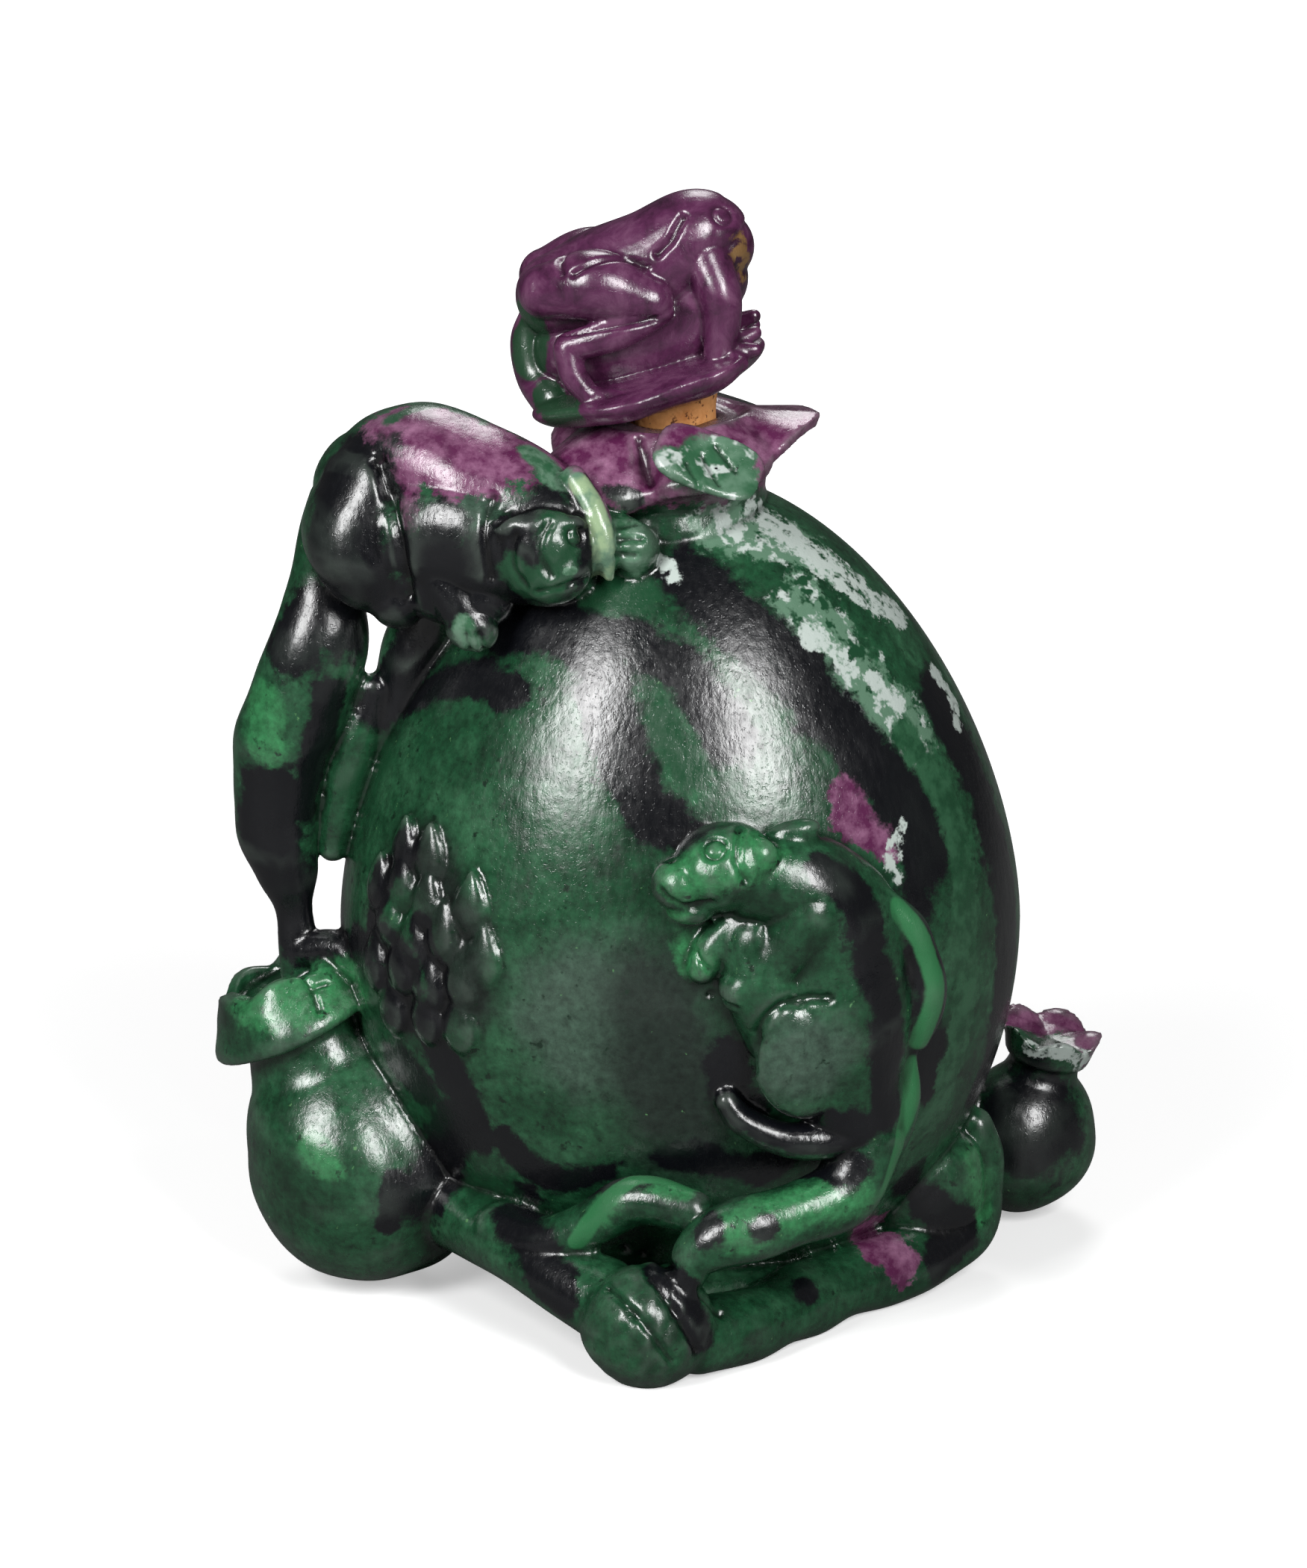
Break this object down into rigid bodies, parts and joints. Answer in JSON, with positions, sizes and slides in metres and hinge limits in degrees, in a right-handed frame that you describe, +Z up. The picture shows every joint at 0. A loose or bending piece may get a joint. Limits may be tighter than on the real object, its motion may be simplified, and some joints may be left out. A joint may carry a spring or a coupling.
{
  "type": "snuff bottle",
  "caption": "Egg-shaped carved stone snuff bottle with a petalled collar, clinging squirrels, pomegranates and a vine in high relief, and a corked frog stopper.",
  "frame": {"origin": "on the table under the middle of the mouth, on the bottle's flat foot", "axes": "+Z up, +X to the right as the carved front faces the viewer, -Y out of that front"},
  "size_m": [0.0623, 0.0466, 0.0775],
  "materials": {
    "ruby_zoisite": "hand-polished ruby in zoisite: green stone with black bands and purple patches",
    "cork": "natural cork",
    "ruby_stone": "hand-polished purple ruby stone with green at the leaf's edge"
  },
  "bodies": {
    "root": {"bottle": "ruby_zoisite", "cork": "cork", "frog_stopper": "ruby_stone"}
  },
  "joints": []
}
